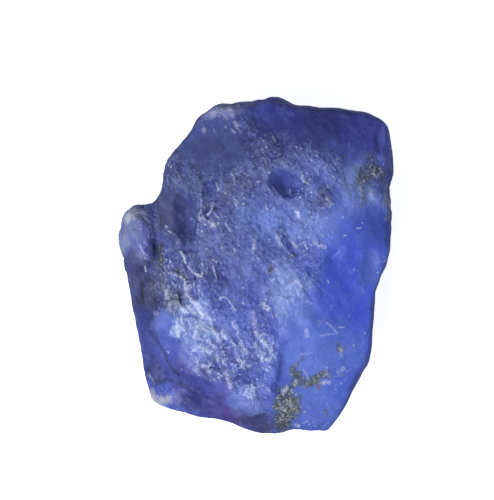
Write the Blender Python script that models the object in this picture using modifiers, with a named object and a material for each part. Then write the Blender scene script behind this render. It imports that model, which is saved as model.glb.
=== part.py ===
"""Rough sapphire: one broken, weathered piece of blue corundum, lying on its flattest break.

Metres, +Z up. X is the stone's width, Y its length and Z its thickness, with the broad etched
face upwards. The origin is the middle of the stone's box, on the surface that it rests on.

The stone gets its shape as a real one does. A blank with the stone's outline is cut by flat
breaks, split into low ledges and scooped by shell-shaped breaks, clefts are worn along its
seams, and the whole skin is then roughened by etching.
"""

import math

import bmesh
import bpy
from mathutils import Matrix, Vector
from mathutils.bvhtree import BVHTree

MM = 0.001

# Driving dimensions, in millimetres
THICKNESS = 13.0
BLANK_HEIGHT = 14.0
GIRDLE_HEIGHT = 5.6
TOP_DRAW = 0.06
BASE_DRAW = 0.16
RESTING_CUT = 0.45
SKIN_VOXEL = 0.3
SKIN_TRIANGLES = 9400

# The edge of the stone seen from above, clockwise from its peak, in millimetres
OUTLINE = [
    (1.7, 18.4), (3.3, 18.0), (4.3, 17.5), (6.0, 17.5), (8.7, 17.4), (11.7, 16.9), (13.9, 16.1),
    (14.6, 15.2), (14.9, 13.2), (15.1, 11.0), (14.7, 9.0), (14.6, 7.5), (14.9, 6.0), (14.8, 3.4),
    (14.7, 1.2), (14.0, -0.8), (13.2, -2.8), (12.9, -5.2), (12.7, -8.9), (12.4, -10.7), (11.3, -13.0),
    (9.9, -15.3), (8.8, -17.1), (7.9, -18.4), (6.1, -18.4), (4.3, -18.4), (2.8, -18.6), (-0.1, -18.3),
    (-3.4, -17.4), (-6.7, -16.5), (-9.6, -15.9), (-11.3, -15.2), (-12.0, -13.8), (-12.8, -10.6),
    (-13.1, -7.7), (-13.5, -5.7), (-14.2, -3.3), (-14.5, -1.1), (-14.9, 0.6), (-15.2, 2.6), (-15.1, 4.1),
    (-14.6, 5.6), (-13.4, 6.7), (-12.1, 6.8), (-11.2, 7.0), (-10.7, 7.8), (-10.3, 9.0), (-10.2, 10.2),
    (-9.7, 11.7), (-8.7, 12.9), (-7.1, 14.9), (-6.4, 16.3), (-5.2, 17.1), (-3.8, 17.4), (-1.5, 17.7),
]

# Flat breaks of the upper side: a point on the break in millimetres, the compass angle that it
# faces, counted from +X towards +Y, and its slope from level
UPPER_BREAKS = {
    "plateau": ((1.0, 3.0, 12.9), 262, 4),
    "top_right": ((9.0, 13.2, 12.0), 66, 28),
    "top_middle": ((0.0, 13.4, 12.4), 98, 24),
    "top_left": ((-4.6, 11.6, 11.9), 138, 30),
    "left_shoulder": ((-7.8, 6.0, 11.4), 184, 42),
    "left_flank": ((-10.6, -4.4, 10.0), 190, 48),
    "bumpy_slope": ((-4.6, -5.6, 12.1), 230, 18),
    "foot_rim_left": ((-11.5, -14.4, 7.0), 230, 62),
    "foot_rim": ((-2.9, -15.6, 8.9), 260, 44),
    "glassy_side": ((7.4, 0.0, 12.5), 338, 15),
    "right_shoulder": ((10.4, 9.4, 12.2), 8, 26),
    "right_edge": ((14.6, 8.0, 8.6), 2, 76),
    "lower_right_edge": ((12.5, -10.1, 8.4), 331, 72),
    "foot_right_edge": ((6.9, -17.8, 7.8), 284, 62),
}

# Flat breaks of the underside, with the slope counted from facing straight down
LOWER_BREAKS = {
    "under_top": ((1.0, 6.4, 0.2), 82, 23),
    "under_top_left": ((-3.6, 4.4, 0.2), 136, 27),
    "under_left": ((-5.6, -0.5, 0.2), 184, 26),
    "under_foot_left": ((-4.2, -6.2, 0.2), 226, 25),
    "under_foot": ((1.0, -7.2, 0.2), 268, 22),
    "under_right": ((7.4, 1.0, 0.2), 358, 31),
    "under_lower_right": ((6.4, -5.0, 0.2), 318, 28),
}

# Low ledges: a point on the foot of the step, the compass angle that the step faces, its length,
# and the compass angle and slope of the floor in front of it
LEDGES = {
    "foot_ledge": ((2.1, -12.3, 11.1), 351, 13.0, 300, 18),
    "pane_ledge": ((-9.8, -9.9, 9.1), 35, 7.5, 213, 27),
    "knob_ledge": ((-10.6, 3.4, 7.9), 176, 11.0, 170, 22),
    "back_ledge": ((-3.0, 9.0, 2.2), 120, 9.0, 110, 160),
}

# Shell-shaped breaks, each the dent of a flattened ball: its middle, its half-sizes and its turn about Z
SCOOPS = {
    "oval_dimple": ((3.2, 8.8, 13.35), (2.1, 1.5, 1.3), -28),
    "small_dimple": ((-5.2, 8.6, 12.9), (0.9, 1.1, 0.8), -20),
    "dark_hollow": ((-8.2, 5.4, 12.2), (1.7, 3.6, 2.6), 6),
    "side_chip": ((8.7, 1.2, 12.7), (1.4, 0.9, 0.9), 45),
    "pale_hollow": ((-1.4, -12.2, 14.0), (3.6, 2.4, 3.5), 30),
    "glassy_dent": ((12.6, -0.4, 13.85), (4.0, 2.2, 3.1), 84),
    "waist_notch": ((15.3, -2.6, 9.0), (1.7, 3.0, 4.4), 8),
    "back_shell": ((6.2, 11.4, -1.2), (6.2, 4.4, 3.6), 30),
    "back_shell_small": ((-8.6, -7.6, -0.4), (4.4, 3.6, 3.2), 120),
    "side_shell": ((15.1, 9.4, 2.2), (2.2, 4.4, 2.6), 10),
    "foot_shell": ((4.4, -18.6, 2.4), (4.8, 2.2, 2.8), 0),
}

# Rounded lumps that the breaks have left standing, given as the scoops are
LUMPS = {
    "knob_crown": ((-12.7, 2.9, 6.3), (2.3, 3.7, 2.9), 8),
    "bright_lump_upper": ((-7.6, -4.2, 9.6), (1.6, 1.2, 1.7), -40),
    "bright_lump_middle": ((-5.6, -7.4, 9.9), (2.2, 1.3, 1.8), -50),
    "bright_lump_lower": ((-2.2, -9.2, 10.2), (1.9, 1.0, 1.4), -62),
    "bright_lump_foot": ((-4.6, -10.9, 9.4), (1.9, 1.3, 1.4), -40),
    "streaked_lump": ((0.6, -8.4, 10.7), (2.2, 0.9, 1.2), -58),
    "pale_lump": ((-0.5, -13.4, 9.4), (1.2, 0.9, 1.0), -30),
}

# Worn seams: a path over the upper side and the radius of the cleft at its middle, in millimetres
CLEFTS = {
    "knob_seam": ([(-10.9, 6.6), (-10.6, 4.6), (-10.8, 2.4), (-10.9, 0.6), (-10.0, -1.4)], 0.6),
    "foot_seam": ([(-9.2, -12.9), (-8.6, -13.8), (-7.2, -14.2), (-5.6, -14.8), (-4.2, -15.5)], 0.4),
    "flank_seam": ([(-11.5, -2.0), (-11.4, -4.6), (-11.1, -7.2)], 0.6),
    "blue_channel": ([(2.4, 5.2), (3.2, 3.7), (3.9, 2.2), (4.5, 0.8)], 0.7),
    "end_seam": ([(13.5, 15.3), (13.3, 13.9), (13.1, 12.4)], 0.6),
}

# Glassy areas that etching has spared: their middle, their half-sizes and their turn
GLASSY_AREAS = {
    "glassy_side": ((11.0, -1.5), (4.5, 9.0), 12),
    "foot_pane": ((6.5, -12.5), (4.5, 6.0), -14),
    "lower_left_pane": ((-9.0, -9.6), (2.6, 3.0), 40),
    "top_right": ((8.5, 15.0), (7.0, 2.6), -10),
    "top_left": ((-5.0, 13.2), (2.6, 3.6), -40),
    "right_shoulder": ((11.0, 9.6), (1.4, 3.4), 0),
}

# Etching of the skin: the texture's kind, its grain in millimetres, how far it moves the skin,
# how many times longer the grain is along the etch lines, and whether it spares the glassy areas
ETCHING = {
    "weathered_swells": ("CLOUDS", 5.0, 0.8, 1.0, False),
    "chipped_ledges": ("VORONOI", 2.6, 0.5, 1.5, True),
    "etch_grain": ("STUCCI", 1.2, 0.45, 2.4, True),
}
ETCH_LINE_ANGLE = -52
GLASSY_SHARE = 0.25

SAPPHIRE_BLUE = (0.055, 0.085, 0.36, 1.0)


def clear_scene():
    for obj in list(bpy.data.objects):
        bpy.data.objects.remove(obj)


def new_collection(name):
    collection = bpy.data.collections.new(name)
    bpy.context.scene.collection.children.link(collection)
    return collection


def sapphire_material():
    material = bpy.data.materials.new("rough_sapphire")
    material.use_nodes = True
    shader = material.node_tree.nodes["Principled BSDF"]
    shader.inputs["Base Color"].default_value = SAPPHIRE_BLUE
    shader.inputs["Roughness"].default_value = 0.3
    shader.inputs["Metallic"].default_value = 0.0
    shader.inputs["IOR"].default_value = 1.77
    return material


def as_helper(obj):
    """A cutter or a guide, which isn't part of the stone."""
    obj.hide_render = True
    obj.display_type = "WIRE"
    helpers.objects.link(obj)
    return obj


def evaluated_mesh(obj):
    bpy.context.view_layer.update()
    graph = bpy.context.evaluated_depsgraph_get()
    return bpy.data.meshes.new_from_object(obj.evaluated_get(graph))


def apply_modifiers(obj):
    obj.data = evaluated_mesh(obj)
    obj.modifiers.clear()


def weld(mesh):
    """Joins the points that lie on each other and turns every face outwards."""
    welder = bmesh.new()
    welder.from_mesh(mesh)
    bmesh.ops.remove_doubles(welder, verts=welder.verts, dist=0.01 * MM)
    bmesh.ops.recalc_face_normals(welder, faces=welder.faces)
    welder.to_mesh(mesh)
    welder.free()


def outline_curve():
    """The stone's edge as a flat filled curve, extruded to the blank's height."""
    curve = bpy.data.curves.new("outline", "CURVE")
    curve.dimensions = "2D"
    curve.fill_mode = "BOTH"
    curve.extrude = BLANK_HEIGHT / 2 * MM
    spline = curve.splines.new("POLY")
    spline.points.add(len(OUTLINE) - 1)
    for point, (x, y) in zip(spline.points, OUTLINE):
        point.co = (x * MM, y * MM, 0.0, 1.0)
    spline.use_cyclic_u = True
    obj = as_helper(bpy.data.objects.new("outline", curve))
    obj.location.z = BLANK_HEIGHT / 2 * MM
    return obj


def slice_levels(mesh, levels):
    """Adds a ring of edges at each level, so that the sides can be drawn in."""
    slicer = bmesh.new()
    slicer.from_mesh(mesh)
    for level in levels:
        everything = slicer.verts[:] + slicer.edges[:] + slicer.faces[:]
        bmesh.ops.bisect_plane(slicer, geom=everything, plane_co=(0, 0, level * MM), plane_no=(0, 0, 1))
    slicer.to_mesh(mesh)
    slicer.free()


def stone_blank():
    """A slab of the outline, drawn in above and below the level where the stone is widest."""
    curve = outline_curve()
    mesh = evaluated_mesh(curve)
    mesh.transform(curve.matrix_world)
    bpy.data.objects.remove(curve)
    blank = bpy.data.objects.new("rough_sapphire", mesh)
    stone_pieces.objects.link(blank)
    weld(mesh)
    slice_levels(mesh, (1.4, 2.8, 4.2, GIRDLE_HEIGHT, 7.5, 9.5, 11.5))
    for vertex in mesh.vertices:
        above = vertex.co.z / MM - GIRDLE_HEIGHT
        if above > 0:
            share, draw = above / (THICKNESS - GIRDLE_HEIGHT), TOP_DRAW
        else:
            share, draw = -above / GIRDLE_HEIGHT, BASE_DRAW
        vertex.co.xy *= 1 - draw * share**2
    return blank


def split_off(obj, point, normal):
    """Breaks away what lies beyond a plane, and closes the cut with a flat face."""
    cutter = bmesh.new()
    cutter.from_mesh(obj.data)
    everything = cutter.verts[:] + cutter.edges[:] + cutter.faces[:]
    bmesh.ops.bisect_plane(
        cutter, geom=everything, plane_co=point, plane_no=normal, clear_outer=True, dist=1e-7
    )
    open_edges = [edge for edge in cutter.edges if edge.is_boundary]
    bmesh.ops.holes_fill(cutter, edges=open_edges)
    cutter.to_mesh(obj.data)
    cutter.free()


def facing(compass, slope):
    """The direction that a face looks in, from its compass angle and its slope from level."""
    turn, tilt = math.radians(compass), math.radians(slope)
    return Vector((math.cos(turn) * math.sin(tilt), math.sin(turn) * math.sin(tilt), math.cos(tilt)))


def flat_breaks(obj):
    for point, compass, slope in UPPER_BREAKS.values():
        split_off(obj, Vector(point) * MM, facing(compass, slope))
    for point, compass, slope in LOWER_BREAKS.values():
        split_off(obj, Vector(point) * MM, facing(compass, 180 - slope))


def ledge_cutter(name, foot, step_faces, length, floor_faces, floor_slope):
    """A block with one lower edge on the foot of the step and its underside on the ledge's floor."""
    bpy.ops.mesh.primitive_cube_add(size=1.0)
    block = bpy.context.object
    block.name = name
    bpy.context.collection.objects.unlink(block)
    up = facing(floor_faces, floor_slope)
    out = Vector((math.cos(math.radians(step_faces)), math.sin(math.radians(step_faces)), 0.0))
    along = up.cross(out).normalized()
    out = along.cross(up)
    axes = Matrix((out, along, up)).transposed().to_4x4()
    reach, height = 30.0, 12.0
    shape = Matrix.Diagonal((reach * MM, length * MM, height * MM, 1.0))
    block.data.transform(Matrix.Translation((reach / 2 * MM, 0, height / 2 * MM)) @ shape)
    block.data.transform(Matrix.Translation(Vector(foot) * MM) @ axes)
    return as_helper(block)


def flattened_ball(name, middle, half_sizes, turn):
    bpy.ops.mesh.primitive_ico_sphere_add(subdivisions=4, radius=1.0)
    ball = bpy.context.object
    ball.name = name
    bpy.context.collection.objects.unlink(ball)
    shape = Matrix.LocRotScale(
        Vector(middle) * MM, Matrix.Rotation(math.radians(turn), 3, "Z"), Vector(half_sizes) * MM
    )
    ball.data.transform(shape)
    return as_helper(ball)


def cleft_tube(name, path, radius, obj):
    """A tube that narrows to both ends, laid on the stone along the path."""
    bpy.context.view_layer.update()
    surface = BVHTree.FromObject(obj, bpy.context.evaluated_depsgraph_get())
    curve = bpy.data.curves.new(name, "CURVE")
    curve.dimensions = "3D"
    curve.bevel_depth = radius * MM
    curve.bevel_resolution = 3
    curve.use_fill_caps = True
    spline = curve.splines.new("POLY")
    last = len(path) - 1
    spline.points.add(last)
    sky = 2 * THICKNESS * MM
    for index, (point, (x, y)) in enumerate(zip(spline.points, path)):
        hit = surface.ray_cast(Vector((x * MM, y * MM, sky)), Vector((0, 0, -1)))[0]
        point.co = (*hit, 1.0)
        point.radius = 0.3 + 0.7 * math.sin(math.pi * index / last)
    guide = as_helper(bpy.data.objects.new(name + "_path", curve))
    mesh = evaluated_mesh(guide)
    bpy.data.objects.remove(guide)
    weld(mesh)
    return as_helper(bpy.data.objects.new(name, mesh))


def combine(obj, tool, operation):
    modifier = obj.modifiers.new(tool.name, "BOOLEAN")
    modifier.operation = operation
    modifier.solver = "EXACT"
    modifier.object = tool
    apply_modifiers(obj)


def even_skin(obj):
    modifier = obj.modifiers.new("even_skin", "REMESH")
    modifier.mode = "VOXEL"
    modifier.voxel_size = SKIN_VOXEL * MM
    softer = obj.modifiers.new("worn_edges", "SMOOTH")
    softer.factor = 0.5
    softer.iterations = 2
    apply_modifiers(obj)


def mark_etched(obj):
    """Gives every point its share of the etching, less inside the glassy areas."""
    group = obj.vertex_groups.new(name="etched")
    for vertex in obj.data.vertices:
        share = 1.0
        if vertex.normal.z > 0:
            for (middle_x, middle_y), (half_x, half_y), turn in GLASSY_AREAS.values():
                offset = Vector((vertex.co.x / MM - middle_x, vertex.co.y / MM - middle_y))
                offset.rotate(Matrix.Rotation(math.radians(-turn), 2))
                away = math.hypot(offset.x / half_x, offset.y / half_y)
                share = min(share, max(GLASSY_SHARE, (away - 0.7) / 0.6))
        else:
            share = 0.6
        group.add([vertex.index], share, "REPLACE")


def etch(obj):
    """Roughens the skin in three grains, the finer ones drawn out along the etch lines."""
    mark_etched(obj)
    for name, (kind, grain, depth, stretch, spares_glass) in ETCHING.items():
        texture = bpy.data.textures.new(name, kind)
        texture.noise_scale = 1.0
        guide = as_helper(bpy.data.objects.new(name + "_grain", None))
        guide.rotation_euler.z = math.radians(ETCH_LINE_ANGLE)
        guide.scale = (grain * stretch * MM, grain * MM, grain * MM)
        modifier = obj.modifiers.new(name, "DISPLACE")
        modifier.texture = texture
        modifier.texture_coords = "OBJECT"
        modifier.texture_coords_object = guide
        modifier.strength = depth * MM
        modifier.mid_level = 0.5
        if spares_glass:
            modifier.vertex_group = "etched"
    apply_modifiers(obj)


def thin_out(obj, triangles):
    obj.data.calc_loop_triangles()
    modifier = obj.modifiers.new("fewer_faces", "DECIMATE")
    modifier.ratio = triangles / len(obj.data.loop_triangles)
    modifier.use_collapse_triangulate = True
    apply_modifiers(obj)


def set_on_its_break(obj):
    """Cuts the resting face flat and puts the origin under the middle of the stone."""
    lowest = min(vertex.co.z for vertex in obj.data.vertices)
    bpy.ops.mesh.primitive_cube_add(size=0.1, location=(0, 0, lowest + RESTING_CUT * MM - 0.05))
    ground = bpy.context.object
    ground.name = "ground"
    bpy.context.collection.objects.unlink(ground)
    combine(obj, as_helper(ground), "DIFFERENCE")
    corners = [Vector(map(pick, zip(*(v.co for v in obj.data.vertices)))) for pick in (min, max)]
    middle = (corners[0] + corners[1]) / 2
    obj.data.transform(Matrix.Translation((-middle.x, -middle.y, -corners[0].z)))


clear_scene()
stone_pieces = new_collection("rough sapphire")
helpers = new_collection("cutters and guides")
helpers.hide_render = True

stone = stone_blank()
flat_breaks(stone)
for ledge_name, ledge in LEDGES.items():
    combine(stone, ledge_cutter(ledge_name, *ledge), "DIFFERENCE")
for scoop_name, scoop in SCOOPS.items():
    combine(stone, flattened_ball(scoop_name, *scoop), "DIFFERENCE")
for lump_name, lump in LUMPS.items():
    combine(stone, flattened_ball(lump_name, *lump), "UNION")
for cleft_name, (cleft_path, cleft_radius) in CLEFTS.items():
    combine(stone, cleft_tube(cleft_name, cleft_path, cleft_radius, stone), "DIFFERENCE")
even_skin(stone)
etch(stone)
thin_out(stone, SKIN_TRIANGLES)
set_on_its_break(stone)
stone.data.materials.append(sapphire_material())
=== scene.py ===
# %% [markdown]
# # A rough sapphire, seen from above
# This lesson dresses a plain model of a rough sapphire, a broken piece of blue corundum 30 mm wide
# and 37 mm long. The plain model has the stone's outline, its flat breaks and its ledges. What it
# lacks is the skin: etch grooves, pits, glitter, cloudy colour and the dark specks of the rock that
# the crystal grew in. First the plain model is loaded. It arrives as a fixed frame, and its own
# mesh is never changed.

# %% Load the plain stone
import itertools
import math

import bpy
import numpy as np
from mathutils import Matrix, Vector, noise


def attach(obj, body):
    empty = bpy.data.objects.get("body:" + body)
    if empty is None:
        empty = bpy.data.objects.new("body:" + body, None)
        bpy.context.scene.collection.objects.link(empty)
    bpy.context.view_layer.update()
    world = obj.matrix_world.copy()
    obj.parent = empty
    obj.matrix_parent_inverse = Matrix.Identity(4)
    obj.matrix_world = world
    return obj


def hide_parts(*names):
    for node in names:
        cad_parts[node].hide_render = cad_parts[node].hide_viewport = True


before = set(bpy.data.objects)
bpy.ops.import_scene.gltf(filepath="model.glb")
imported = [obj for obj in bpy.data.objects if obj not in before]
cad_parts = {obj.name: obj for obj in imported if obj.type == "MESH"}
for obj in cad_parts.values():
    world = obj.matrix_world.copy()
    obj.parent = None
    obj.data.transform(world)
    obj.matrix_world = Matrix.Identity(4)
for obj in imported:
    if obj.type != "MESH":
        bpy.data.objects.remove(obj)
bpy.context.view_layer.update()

MM = 0.001
plain_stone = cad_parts["rough_sapphire"]
print("plain stone:", len(plain_stone.data.polygons), "triangles")

# %% [markdown]
# ## Small helpers
# Colours are easiest to read off a photograph as sRGB hex values, but Blender's sockets want linear
# light, so one function turns the first into the second. Another adds a shader node with its
# settings and its links in one go, which keeps a long material readable.

# %% Colour and node helpers
def linear(hex_colour):
    """An sRGB hex value such as "#4a5fb4" as linear red, green, blue and alpha."""
    levels = [int(hex_colour[place:place + 2], 16) / 255 for place in (1, 3, 5)]
    return tuple(c / 12.92 if c <= 0.04045 else ((c + 0.055) / 1.055) ** 2.4 for c in levels) + (1.0,)


def add_node(tree, kind, settings=(), links=()):
    """Adds a node. A setting names one of its properties, or an input by name or number."""
    node = tree.nodes.new(kind)
    for key, value in dict(settings).items():
        if isinstance(key, str) and hasattr(node, key):
            setattr(node, key, value)
        else:
            node.inputs[key].default_value = value
    for key, source in dict(links).items():
        tree.links.new(source, node.inputs[key])
    return node


def choose_only(obj):
    """Deselects everything else, because an operator acts on all that is selected."""
    bpy.ops.object.select_all(action="DESELECT")
    obj.select_set(True)
    bpy.context.view_layer.objects.active = obj


bpy.ops.object.select_all(action="DESELECT")
print("mid blue in linear light:", [round(c, 3) for c in linear("#4a5fb4")])

# %% [markdown]
# ## The camera
# The stone was photographed square on to its broad face. Here it lies with that face up, so the
# camera looks straight down. A long lens far away keeps the perspective as flat as in a close-up
# of a small thing. One pixel of the photograph is 0.11 mm of stone, and the picture is 500 pixels
# high, so the distance follows from the lens.

# %% Look straight down
PIXEL_IN_MM = 0.11
PICTURE_HEIGHT = 500
# The picture's middle lies a little to the left of the stone's and above it
PICTURE_MIDDLE = (-1.0 * MM, 1.7 * MM)
EDGE_LEVEL = 7.0 * MM
camera_data = bpy.data.cameras.new("close_up")
camera_data.lens = 180
camera_data.sensor_width = 36
distance = PICTURE_HEIGHT * (PIXEL_IN_MM * MM) / camera_data.sensor_width * camera_data.lens
camera = bpy.data.objects.new("close_up", camera_data)
camera.location = (*PICTURE_MIDDLE, EDGE_LEVEL + distance)
bpy.context.scene.collection.objects.link(camera)
bpy.context.scene.camera = camera
print("camera is", round(distance / MM), "mm above the stone's edge")

# %% [markdown]
# ## The table
# Small stones are photographed on white so that their edges glow. The table here is a sheet of
# opal white acrylic, lit a little from below, which also takes away the hard shadow. It throws no
# light on the stone and isn't mirrored in it, as if a dark card lay under the stone, because so
# near a white sheet would wash out the steep flanks.

# %% White table
bpy.ops.mesh.primitive_grid_add(x_subdivisions=2, y_subdivisions=2, size=3.0)
table = bpy.context.object
table.name = "white_table"
# Cast opal acrylic is satin: an even white with no highlight
acrylic = bpy.data.materials.new("opal_white_acrylic")
acrylic.use_nodes = True
acrylic_shader = acrylic.node_tree.nodes["Principled BSDF"]
acrylic_shader.inputs["Base Color"].default_value = linear("#f4f4f4")
acrylic_shader.inputs["Roughness"].default_value = 0.7
acrylic_shader.inputs["Emission Color"].default_value = linear("#ffffff")
acrylic_shader.inputs["Emission Strength"].default_value = 0.75
table.data.materials.append(acrylic)
table.visible_glossy = False
table.visible_diffuse = False
print("table:", round(table.dimensions.x, 2), "m wide")

# %% [markdown]
# ## The light
# All round the stone stands a light tent, which is a world whose brightness changes with height.
# Its walls are brighter than its roof, which the glassy breaks mirror. What lies lower than the
# table is dim, and keeps the steep flanks deep in colour. A soft window of light stands to the lower
# left, at the height where the bumpy slope of the stone mirrors it into the camera, because that is
# where the photograph has its white sheen. No lamp stands at the upper right, so the breaks that
# face that way go navy.

# %% Light tent and window
BENCH, WALL, ROOF = 0.3, 0.76, 0.24
studio = bpy.data.worlds.new("studio")
studio.use_nodes = True
sky = studio.node_tree
direction = add_node(sky, "ShaderNodeTexCoord").outputs["Generated"]
upward = add_node(sky, "ShaderNodeSeparateXYZ", (), {0: direction}).outputs["Z"]
how_high = add_node(sky, "ShaderNodeMapRange", {"From Min": -1.0}, {"Value": upward}).outputs[0]
tent = add_node(sky, "ShaderNodeValToRGB", (), {0: how_high})
tent.color_ramp.elements[0].position, tent.color_ramp.elements[0].color = 0.5, (BENCH, BENCH, BENCH, 1.0)
tent.color_ramp.elements[1].position, tent.color_ramp.elements[1].color = 0.98, (ROOF, ROOF, ROOF, 1.0)
tent.color_ramp.elements.new(0.68).color = (WALL, WALL, WALL, 1.0)
sky.links.new(tent.outputs[0], sky.nodes["Background"].inputs["Strength"])
sky.nodes["Background"].inputs["Color"].default_value = linear("#e8eefc")
bpy.context.scene.world = studio
bpy.context.scene.view_settings.view_transform = "Standard"

# name: compass angle from +X, height above the table in degrees, distance and size in metres, watts
LIGHTS = {
    "sheen_window": (222, 50, 0.40, 0.20, 1.5),
}
for light_name, (compass, height, away, size, watts) in LIGHTS.items():
    turn, rise = math.radians(compass), math.radians(height)
    toward = Vector((math.cos(turn) * math.cos(rise), math.sin(turn) * math.cos(rise), math.sin(rise)))
    lamp_data = bpy.data.lights.new(light_name, "AREA")
    lamp_data.size = size
    lamp_data.energy = watts
    lamp = bpy.data.objects.new(light_name, lamp_data)
    lamp.location = toward * away
    lamp.rotation_euler = toward.to_track_quat("Z", "Y").to_euler()
    bpy.context.scene.collection.objects.link(lamp)
print("lights:", ", ".join(LIGHTS))

# %% [markdown]
# ## A finer skin
# The plain stone has a face about every 0.8 mm. The grooves on the real skin are much finer, so a
# copy is made to carry them. Its loose triangles are merged, and a voxel remesh covers it with
# even squares. Smoothing rounds off the plain model's triangles, which would otherwise show as
# fish scales. The upper side is what the eye studies, so its squares are split once more.

# %% Copy, remesh and split the upper side
SKIN_GRAIN = 0.29 * MM
UPPER_SIDE = 3.0 * MM
LEAST_UPWARD = 0.15
MERGE_DISTANCE = 0.001 * MM
stone_mesh = plain_stone.data.copy()
stone = bpy.data.objects.new("sapphire_skin", stone_mesh)
bpy.context.scene.collection.objects.link(stone)
stone_mesh.materials.clear()
choose_only(stone)
bpy.ops.object.mode_set(mode="EDIT")
bpy.ops.mesh.select_all(action="SELECT")
bpy.ops.mesh.remove_doubles(threshold=MERGE_DISTANCE)
bpy.ops.object.mode_set(mode="OBJECT")


def apply_modifier(obj, kind, **settings):
    """Adds a modifier with its settings and applies it at once."""
    modifier = obj.modifiers.new(kind.lower(), kind)
    for key, value in settings.items():
        setattr(modifier, key, value)
    bpy.ops.object.modifier_apply(modifier=modifier.name)


apply_modifier(stone, "REMESH", mode="VOXEL", voxel_size=SKIN_GRAIN)
apply_modifier(stone, "SMOOTH", factor=0.5, iterations=3)
bpy.ops.object.mode_set(mode="EDIT")
bpy.ops.mesh.select_all(action="DESELECT")
bpy.ops.object.mode_set(mode="OBJECT")
for face in stone.data.polygons:
    face.select = face.normal.z > LEAST_UPWARD and face.center.z > UPPER_SIDE
bpy.ops.object.mode_set(mode="EDIT")
bpy.ops.mesh.subdivide(number_cuts=1)
bpy.ops.object.mode_set(mode="OBJECT")
apply_modifier(stone, "SMOOTH", factor=0.5, iterations=2)
print("skin:", sum(len(face.vertices) - 2 for face in stone.data.polygons), "triangles")

# %% [markdown]
# ## Working on the points in code
# The relief below is sculpted in code, so the mesh's points are read into one array, moved there
# and written back. Distances in the array are in millimetres, which keeps the numbers readable.

# %% Read and write the points
ends = np.empty(len(stone.data.edges) * 2, dtype=int)
stone.data.edges.foreach_get("vertices", ends)
starts, finishes = ends.reshape(-1, 2).T
neighbours = np.bincount(ends, minlength=len(stone.data.vertices))


def read_points(what="co"):
    """The mesh's points in millimetres, or its normals, as rows of X, Y and Z."""
    values = np.empty(len(stone.data.vertices) * 3)
    stone.data.vertices.foreach_get(what, values)
    return values.reshape(-1, 3) / (MM if what == "co" else 1.0)


def move_points(heights):
    """Lifts every point along its normal by its own height in millimetres."""
    moved = read_points() + read_points("normal") * heights[:, None]
    stone.data.vertices.foreach_set("co", (moved * MM).ravel())
    stone.data.update()


def averaged(values, times):
    """Values at the points, averaged with their neighbours' again and again."""
    for _ in range(times):
        columns = []
        for column in values.T:
            total = np.bincount(starts, column[finishes], len(column))
            total += np.bincount(finishes, column[starts], len(column))
            columns.append((column + total / neighbours) / 2)
        values = np.stack(columns, axis=1)
    return values


def keep_share(name, shares):
    """Keeps one number for each point as an attribute that the material can read."""
    stone.data.attributes.new(name, "FLOAT", "POINT").data.foreach_set("value", shares)


points = read_points()
print("points:", len(points))

# %% [markdown]
# ## Where the skin is etched, and where it is glassy
# Solutions in the ground etched most of the skin into fine grooves, but the freshest breaks are
# still smooth as glass, and low on the left the skin is crumpled into bright lumps. Each point gets
# its share of each, from 0 to 1. The shares come from ovals placed over the stone as it is seen
# from above. Nothing in nature has an oval's edge, so a soft noise makes every oval ragged.
# Blender's noise starts from the clock unless it gets a seed, and then no two runs are the same.

# %% Ovals and shares
# name: middle and half-sizes in millimetres, and turn in degrees
GLASSY_OVALS = {
    "glassy_side": ((12.0, -2.6), (4.3, 9.4), 8),
    "foot_pane": ((7.2, -10.6), (4.6, 7.0), -10),
    "lower_left_pane": ((-8.9, -9.6), (1.9, 3.0), 40),
    "pale_pane": ((-10.4, -6.3), (1.2, 1.4), 0),
    "foot_slope": ((-6.2, -13.4), (4.4, 1.5), -26),
    "dark_end": ((8.0, 15.6), (8.4, 2.6), -8),
    "dark_end_side": ((11.2, 13.0), (1.8, 2.8), 0),
    "top_left": ((-4.6, 13.2), (3.4, 2.4), -20),
    "oval_dimple": ((2.7, 8.9), (1.1, 0.7), -28),
    "foot_rim": ((-3.6, -16.2), (5.0, 1.2), -18),
    "left_flank": ((-12.9, -6.0), (1.8, 8.4), 6),
    "knob": ((-13.8, 3.4), (0.9, 1.8), 6),
    "dark_hollow": ((-8.9, 5.7), (1.8, 2.4), 4),
}
LUMPY_OVALS = {
    "upper_lumps": ((-7.4, -5.4), (2.4, 1.6), -35),
    "bright_lumps": ((-5.4, -8.4), (2.4, 3.9), 35),
    "low_lumps": ((-1.8, -9.7), (1.4, 2.4), 30),
    "streaked_lumps": ((0.7, -8.4), (1.0, 2.6), 20),
    "curly_lumps": ((-0.5, -13.5), (0.9, 1.2), 0),
    "beside_the_seam": ((-8.4, -1.6), (2.0, 2.6), 20),
    "bright_cluster": ((-5.1, 5.2), (0.8, 0.9), 0),
    "arc_of_chips": ((-3.1, -4.0), (1.1, 0.8), -30),
}
NOISE_SEED = 1
noise.seed_set(NOISE_SEED)


def wander(size):
    """A soft random offset for each point, which changes over a distance of size millimetres."""
    return np.array([noise.noise_vector(Vector(point) / size) for point in points])


# how far an oval's edge wanders, and over what distance it does so, in millimetres
EDGE_WANDERING = ((0.9, 1.6), (0.4, 0.6), (0.2, 0.25))
unsteady = points
for reach, size in EDGE_WANDERING:
    unsteady = unsteady + reach * wander(size)


def oval_reach(middle, half_sizes, turn):
    """How far each point is from an oval's ragged edge, counted as 1 on the edge."""
    angle = math.radians(turn)
    across, along = unsteady[:, 0] - middle[0], unsteady[:, 1] - middle[1]
    own_x = across * math.cos(angle) + along * math.sin(angle)
    own_y = along * math.cos(angle) - across * math.sin(angle)
    return np.hypot(own_x / half_sizes[0], own_y / half_sizes[1])


# Heights in millimetres between which the underside gives way to the upper side
WAIST, UPPER_RIM = 4.0, 6.0
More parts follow.
